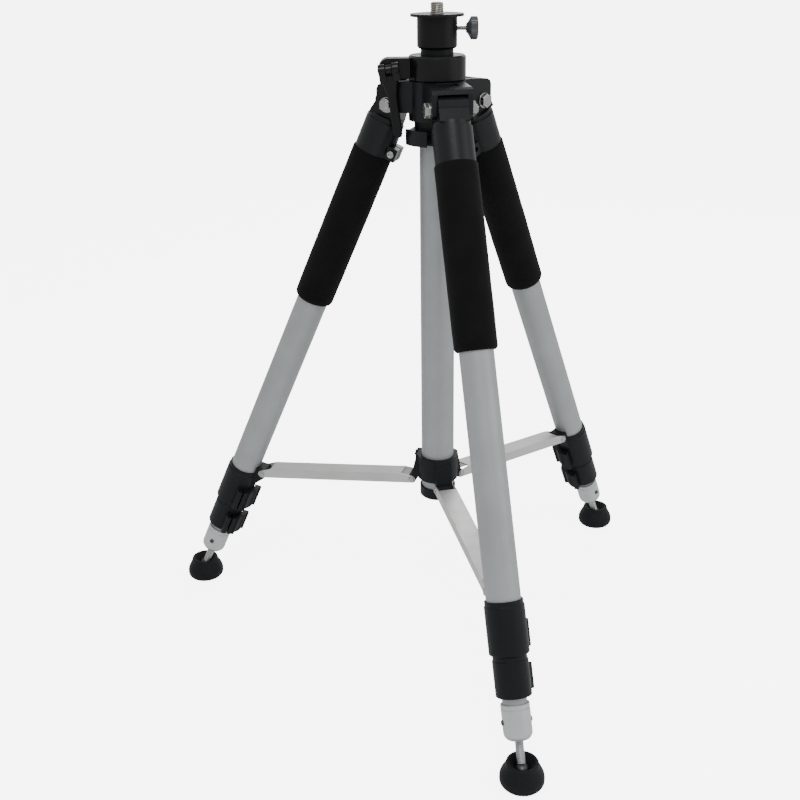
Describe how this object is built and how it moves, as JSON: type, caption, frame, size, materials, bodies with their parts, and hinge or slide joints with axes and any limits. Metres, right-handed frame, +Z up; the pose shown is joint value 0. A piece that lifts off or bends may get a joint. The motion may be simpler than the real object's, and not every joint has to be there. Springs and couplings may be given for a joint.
{
  "type": "tripod for a laser level",
  "caption": "Folding tripod with telescopic legs, sliding centre column, spreader arms and swivelling rubber feet, topped by a threaded stud adapter that carries a laser level.",
  "frame": {"origin": "on the ground, under the centre column's axis", "axes": "+Z up along the centre column, leg 1 towards -Y, legs 2 and 3 a third of a turn either side"},
  "size_m": [0.6692, 0.5863, 0.8102],
  "materials": {
    "stud_steel": "bright zinc plated steel",
    "adapter_black": "satin black coat",
    "knob_plastic": "moulded, dark blue-grey",
    "tube_alu": "satin anodised",
    "cast_black": "die cast, satin black paint",
    "plastic_black": "glass filled, fine grain",
    "ring_black": "smooth gloss",
    "foam": "closed cell foam sleeve",
    "arm_alu": "brushed channel",
    "ferrule_alu": "turned",
    "zinc_steel": "bright zinc",
    "foot_rubber": "moulded rubber"
  },
  "bodies": {
    "head": {"spider": "cast_black", "clamp_ring": "ring_black", "clamp_bolt": "ring_black", "hinge_bolts": "zinc_steel", "centre_tube": "tube_alu", "tube_end_plug": "plastic_black"},
    "column": {"column_tube": "tube_alu", "column_top_plug": "plastic_black"},
    "adapter": {"threaded_stud": "stud_steel", "adapter_body": "adapter_black"},
    "thumbscrew": {"thumbscrew_shank": "stud_steel", "thumbscrew_knob": "knob_plastic"},
    "clamp_lever": {"cam_lever": "ring_black"},
    "hub": {"spreader_hub": "plastic_black", "hub_pins": "zinc_steel"},
    "hub_lock": {"hub_lock_screw": "knob_plastic"},
    "leg_1": {"leg_casting_1": "cast_black", "pinch_screw_1": "zinc_steel", "foam_grip_1": "foam", "upper_tube_1": "tube_alu", "upper_clamp_1": "plastic_black"},
    "upper_latch_body_1": {"upper_latch_1": "plastic_black"},
    "mid_section_1": {"mid_tube_1": "tube_alu", "lower_clamp_1": "plastic_black"},
    "lower_latch_body_1": {"lower_latch_1": "plastic_black"},
    "lower_section_1": {"lower_tube_1": "tube_alu", "end_ferrule_1": "ferrule_alu", "foot_rod_1": "stud_steel"},
    "foot_1": {"rubber_foot_1": "foot_rubber"},
    "spreader_arm_1": {"arm_1": "arm_alu"},
    "leg_2": {"leg_casting_2": "cast_black", "pinch_screw_2": "zinc_steel", "foam_grip_2": "foam", "upper_tube_2": "tube_alu", "upper_clamp_2": "plastic_black"},
    "upper_latch_body_2": {"upper_latch_2": "plastic_black"},
    "mid_section_2": {"mid_tube_2": "tube_alu", "lower_clamp_2": "plastic_black"},
    "lower_latch_body_2": {"lower_latch_2": "plastic_black"},
    "lower_section_2": {"lower_tube_2": "tube_alu", "end_ferrule_2": "ferrule_alu", "foot_rod_2": "stud_steel"},
    "foot_2": {"rubber_foot_2": "foot_rubber"},
    "spreader_arm_2": {"arm_2": "arm_alu"},
    "leg_3": {"leg_casting_3": "cast_black", "pinch_screw_3": "zinc_steel", "foam_grip_3": "foam", "upper_tube_3": "tube_alu", "upper_clamp_3": "plastic_black"},
    "upper_latch_body_3": {"upper_latch_3": "plastic_black"},
    "mid_section_3": {"mid_tube_3": "tube_alu", "lower_clamp_3": "plastic_black"},
    "lower_latch_body_3": {"lower_latch_3": "plastic_black"},
    "lower_section_3": {"lower_tube_3": "tube_alu", "end_ferrule_3": "ferrule_alu", "foot_rod_3": "stud_steel"},
    "foot_3": {"rubber_foot_3": "foot_rubber"},
    "spreader_arm_3": {"arm_3": "arm_alu"}
  },
  "joints": [
    {"name": "column_slide", "type": "slide", "parent": "head", "child": "column", "axis": [0, 0, 1], "range_m": [0, 0.3]},
    {"name": "adapter_turn", "type": "hinge", "parent": "column", "child": "adapter", "pos_m": [0, 0, 0.75953], "axis": [0, 0, 1], "continuous": true},
    {"name": "thumbscrew_turn", "type": "hinge", "parent": "adapter", "child": "thumbscrew", "pos_m": [0.02923, -0.00675, 0.78113], "axis": [0.9744, -0.225, 0], "range_deg": [0, 720]},
    {"name": "clamp_lever_turn", "type": "hinge", "parent": "head", "child": "clamp_lever", "pos_m": [-0.05928, -0.00515, 0.73813], "axis": [-0.9649, 0.2228, -0.1392], "range_deg": [0, 100]},
    {"name": "hub_slide", "type": "slide", "parent": "head", "child": "hub", "axis": [0, 0, 1], "range_m": [0, 0.07718]},
    {"name": "hub_lock_turn", "type": "hinge", "parent": "hub", "child": "hub_lock", "pos_m": [-0.01268, 0.02719, 0.22931], "axis": [-0.4226, 0.9063, 0], "range_deg": [0, 360]},
    {"name": "leg_fold_1", "type": "hinge", "parent": "head", "child": "leg_1", "pos_m": [0, -0.0545, 0.69693], "axis": [1, 0, 0], "range_deg": [0, 3]},
    {"name": "arm_fold_1", "type": "hinge", "parent": "hub", "child": "spreader_arm_1", "pos_m": [0, -0.0334, 0.20531], "axis": [1, 0, 0], "range_deg": [0, 23.99]},
    {"name": "mid_slide_1", "type": "slide", "parent": "leg_1", "child": "mid_section_1", "axis": [0, -0.4067, -0.9135], "range_m": [0, 0.35]},
    {"name": "lower_slide_1", "type": "slide", "parent": "mid_section_1", "child": "lower_section_1", "axis": [0, -0.4067, -0.9135], "range_m": [0, 0.35]},
    {"name": "upper_latch_turn_1", "type": "hinge", "parent": "leg_1", "child": "upper_latch_body_1", "pos_m": [0.01924, -0.2746, 0.14154], "axis": [0, -0.4067, -0.9135], "range_deg": [0, 100]},
    {"name": "lower_latch_turn_1", "type": "hinge", "parent": "mid_section_1", "child": "lower_latch_body_1", "pos_m": [0.01719, -0.29535, 0.09845], "axis": [0, -0.4067, -0.9135], "range_deg": [0, 100]},
    {"name": "foot_tilt_1", "type": "hinge", "parent": "lower_section_1", "child": "foot_1", "pos_m": [0, -0.35687, 0.0178], "axis": [1, 0, 0], "range_deg": [-45, 6]},
    {"name": "leg_fold_2", "type": "hinge", "parent": "head", "child": "leg_2", "pos_m": [0.0472, 0.02725, 0.69693], "axis": [-0.5, 0.866, 0], "range_deg": [0, 3]},
    {"name": "arm_fold_2", "type": "hinge", "parent": "hub", "child": "spreader_arm_2", "pos_m": [0.02893, 0.0167, 0.20531], "axis": [-0.5, 0.866, 0], "range_deg": [0, 23.99]},
    {"name": "mid_slide_2", "type": "slide", "parent": "leg_2", "child": "mid_section_2", "axis": [0.3522, 0.2034, -0.9135], "range_m": [0, 0.35]},
    {"name": "lower_slide_2", "type": "slide", "parent": "mid_section_2", "child": "lower_section_2", "axis": [0.3522, 0.2034, -0.9135], "range_m": [0, 0.35]},
    {"name": "upper_latch_turn_2", "type": "hinge", "parent": "leg_2", "child": "upper_latch_body_2", "pos_m": [0.22819, 0.15396, 0.14154], "axis": [0.3522, 0.2034, -0.9135], "range_deg": [0, 100]},
    {"name": "lower_latch_turn_2", "type": "hinge", "parent": "mid_section_2", "child": "lower_latch_body_2", "pos_m": [0.24719, 0.16257, 0.09845], "axis": [0.3522, 0.2034, -0.9135], "range_deg": [0, 100]},
    {"name": "foot_tilt_2", "type": "hinge", "parent": "lower_section_2", "child": "foot_2", "pos_m": [0.30906, 0.17843, 0.0178], "axis": [-0.5, 0.866, 0], "range_deg": [-45, 6]},
    {"name": "leg_fold_3", "type": "hinge", "parent": "head", "child": "leg_3", "pos_m": [-0.0472, 0.02725, 0.69693], "axis": [-0.5, -0.866, 0], "range_deg": [0, 3]},
    {"name": "arm_fold_3", "type": "hinge", "parent": "hub", "child": "spreader_arm_3", "pos_m": [-0.02893, 0.0167, 0.20531], "axis": [-0.5, -0.866, 0], "range_deg": [0, 23.99]},
    {"name": "mid_slide_3", "type": "slide", "parent": "leg_3", "child": "mid_section_3", "axis": [-0.3522, 0.2034, -0.9135], "range_m": [0, 0.35]},
    {"name": "lower_slide_3", "type": "slide", "parent": "mid_section_3", "child": "lower_section_3", "axis": [-0.3522, 0.2034, -0.9135], "range_m": [0, 0.35]},
    {"name": "upper_latch_turn_3", "type": "hinge", "parent": "leg_3", "child": "upper_latch_body_3", "pos_m": [-0.24743, 0.12064, 0.14154], "axis": [-0.3522, 0.2034, -0.9135], "range_deg": [0, 100]},
    {"name": "lower_latch_turn_3", "type": "hinge", "parent": "mid_section_3", "child": "lower_latch_body_3", "pos_m": [-0.26438, 0.13279, 0.09845], "axis": [-0.3522, 0.2034, -0.9135], "range_deg": [0, 100]},
    {"name": "foot_tilt_3", "type": "hinge", "parent": "lower_section_3", "child": "foot_3", "pos_m": [-0.30906, 0.17843, 0.0178], "axis": [-0.5, -0.866, 0], "range_deg": [-45, 6]}
  ],
  "couplings": [
    {"joint": "hub_slide", "follows": "leg_fold_1", "m_per_rad": 1.4702},
    {"joint": "arm_fold_1", "follows": "leg_fold_1", "ratio": 7.9788},
    {"joint": "leg_fold_2", "follows": "leg_fold_1", "ratio": 1},
    {"joint": "arm_fold_2", "follows": "leg_fold_1", "ratio": 7.9788},
    {"joint": "leg_fold_3", "follows": "leg_fold_1", "ratio": 1},
    {"joint": "arm_fold_3", "follows": "leg_fold_1", "ratio": 7.9788}
  ]
}
